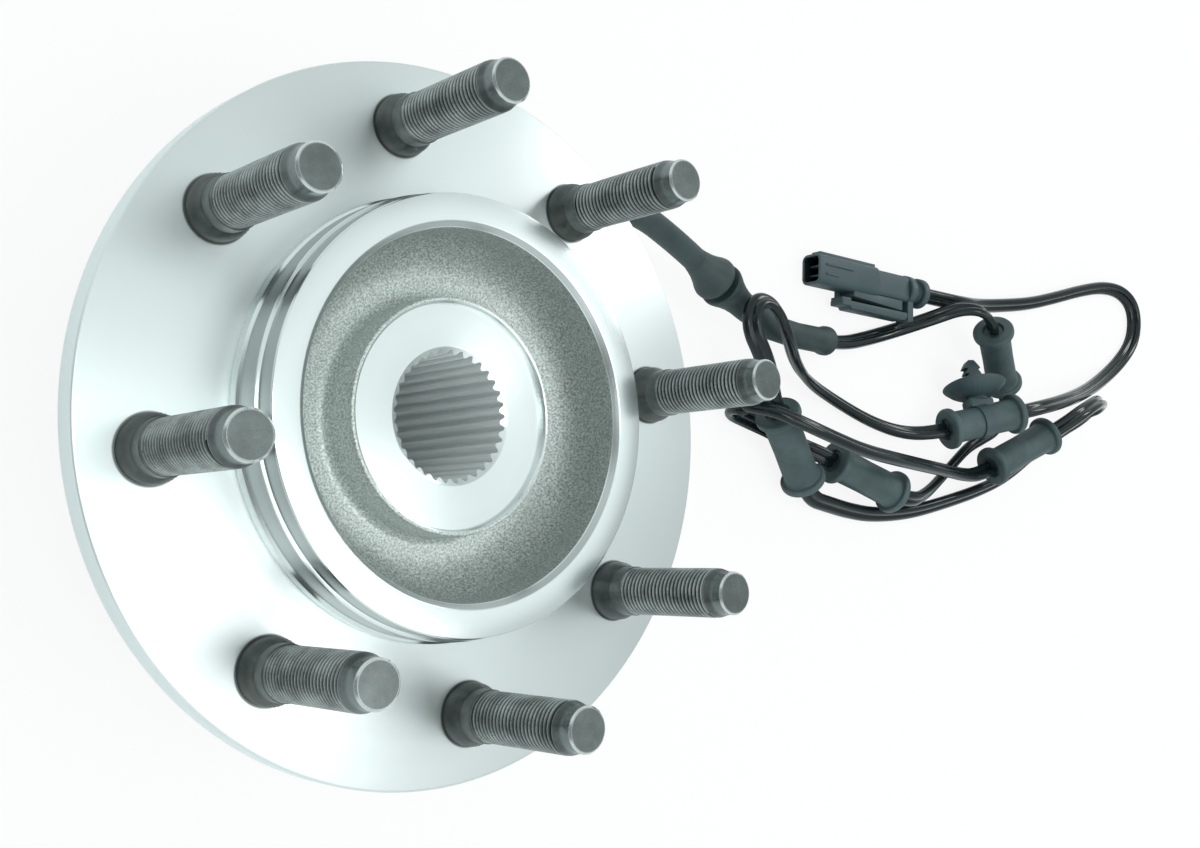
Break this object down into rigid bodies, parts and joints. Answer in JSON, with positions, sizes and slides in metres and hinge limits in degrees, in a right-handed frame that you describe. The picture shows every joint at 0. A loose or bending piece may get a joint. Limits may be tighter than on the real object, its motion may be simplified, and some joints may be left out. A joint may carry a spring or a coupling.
{
  "type": "wheel_hub_bearing",
  "caption": "Heavy pickup wheel hub bearing unit: studded wheel flange on a taper roller bearing, with its wheel speed sensor, sensor lead, grommets and connector",
  "frame": {"origin": "on the hub axis, on the floor plane under the inboard end of the outer ring", "axes": "+Z along the hub axis to the wheel, +X to the side that the sensor lead leaves to, +Y toward the speed sensor"},
  "size_m": [0.6621, 0.202, 0.1374],
  "materials": {
    "machined_steel": "turned and ground, bright",
    "forged_steel": "forged scale, blasted, part machined",
    "phosphated_steel": "dark grey zinc phosphate",
    "bearing_steel": "ground and polished",
    "pressed_steel": "pressed sheet, oiled",
    "plated_steel": "zinc plated",
    "cage_plastic": "glass-filled nylon",
    "black_rubber": "moulded rubber, dull",
    "sleeve_rubber": "moulded grommet rubber, satin",
    "cable_jacket": "twin-core jacket, glossy",
    "sensor_plastic": "moulded nylon, fine grain",
    "connector_plastic": "moulded nylon, satin",
    "terminal_tin": "tin plated brass"
  },
  "bodies": {
    "housing": {"outer_ring": "forged_steel", "outboard_seal_case": "pressed_steel", "inboard_seal_case": "pressed_steel", "outboard_seal_lip": "black_rubber", "inboard_seal_lip": "black_rubber", "speed_sensor": "sensor_plastic", "sensor_o_ring": "black_rubber", "sensor_screw": "plated_steel", "lead_sleeve": "sleeve_rubber", "lead_boot": "sleeve_rubber", "clip_strap": "sensor_plastic", "edge_clip": "sensor_plastic", "connector_housing": "connector_plastic", "connector_pins": "terminal_tin", "connector_seal": "sleeve_rubber", "connector_rear_cap": "connector_plastic", "cable_run_1": "cable_jacket", "cable_run_2": "cable_jacket", "cable_run_3": "cable_jacket", "cable_run_4": "cable_jacket", "cable_run_5": "cable_jacket", "cable_run_6": "cable_jacket", "cable_grommet_1": "sleeve_rubber", "cable_grommet_2": "sleeve_rubber", "cable_grommet_3": "sleeve_rubber", "cable_grommet_4": "sleeve_rubber", "cable_grommet_5": "sleeve_rubber"},
    "hub": {"wheel_hub": "machined_steel", "wheel_studs": "phosphated_steel", "outboard_cone": "bearing_steel", "inboard_cone": "bearing_steel", "tone_ring": "pressed_steel", "outboard_slinger": "pressed_steel", "inboard_slinger": "pressed_steel"},
    "outboard_cage_set": {"outboard_cage": "cage_plastic", "outboard_rollers": "bearing_steel"},
    "inboard_cage_set": {"inboard_cage": "cage_plastic", "inboard_rollers": "bearing_steel"},
    "latch": {"connector_latch": "connector_plastic"}
  },
  "joints": [
    {"name": "hub_spin", "type": "hinge", "parent": "housing", "child": "hub", "pos_m": [0, 0, 0.038], "axis": [0, 0, 1], "continuous": true},
    {"name": "outboard_cage_spin", "type": "hinge", "parent": "housing", "child": "outboard_cage_set", "pos_m": [0, 0, 0.0585], "axis": [0, 0, 1], "continuous": true},
    {"name": "inboard_cage_spin", "type": "hinge", "parent": "housing", "child": "inboard_cage_set", "pos_m": [0, 0, 0.0175], "axis": [0, 0, 1], "continuous": true},
    {"name": "latch_press", "type": "hinge", "parent": "housing", "child": "latch", "pos_m": [0.3257, 0.02474, 0.00992], "axis": [0.0623, 0, -0.9981], "range_deg": [0, 3], "stiffness_Nm_per_rad": 0.5}
  ],
  "couplings": [
    {"joint": "outboard_cage_spin", "follows": "hub_spin", "ratio": 0.4528},
    {"joint": "inboard_cage_spin", "follows": "hub_spin", "ratio": 0.4528}
  ]
}
